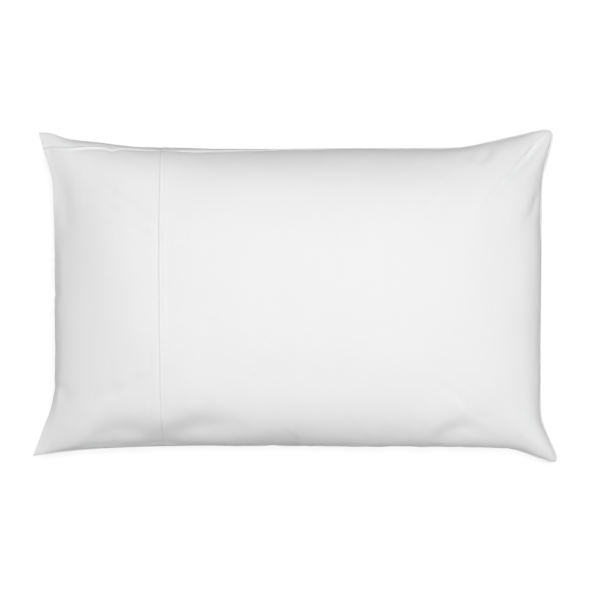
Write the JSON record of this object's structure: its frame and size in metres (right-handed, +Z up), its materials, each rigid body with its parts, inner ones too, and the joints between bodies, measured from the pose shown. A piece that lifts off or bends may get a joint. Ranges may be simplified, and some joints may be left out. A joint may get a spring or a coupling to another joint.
{
  "type": "bed pillow",
  "caption": "Filled bed pillow in a plain white open-ended pillowcase with a deep sewn cuff; the corded pillow inside slides out of the mouth.",
  "frame": {"origin": "under the middle of the pillow, on the surface it lies on", "axes": "+X along the pillow from the open mouth of the case to its sewn end, +Y across it, +Z up through the front of the case"},
  "size_m": [0.748, 0.478, 0.14],
  "materials": {
    "case_cotton": "matte",
    "cuff_cotton": "matte",
    "sewing_thread": "satin",
    "label_tape": "satin",
    "ticking_cotton": "matte",
    "piping_cord": "matte",
    "polyester_fibre": "matte"
  },
  "bodies": {
    "case": {"case_front_panel": "case_cotton", "case_back_panel": "case_cotton", "cuff_front": "cuff_cotton", "cuff_back": "cuff_cotton", "cuff_topstitch_front": "sewing_thread", "cuff_topstitch_back": "sewing_thread", "side_seam_upper": "case_cotton", "side_seam_lower": "case_cotton", "end_seam": "case_cotton", "case_label": "label_tape"},
    "insert": {"ticking_top": "ticking_cotton", "ticking_bottom": "ticking_cotton", "edge_piping": "piping_cord", "fibre_fill": "polyester_fibre", "closing_stitch": "sewing_thread", "insert_label": "label_tape"}
  },
  "joints": [
    {"name": "insert_slide", "type": "slide", "parent": "case", "child": "insert", "axis": [-1, 0, 0], "range_m": [0, 0.75], "deforming": ["case_front_panel", "case_back_panel", "cuff_front", "cuff_back", "cuff_topstitch_front", "cuff_topstitch_back", "side_seam_upper", "side_seam_lower", "end_seam", "case_label"]}
  ]
}
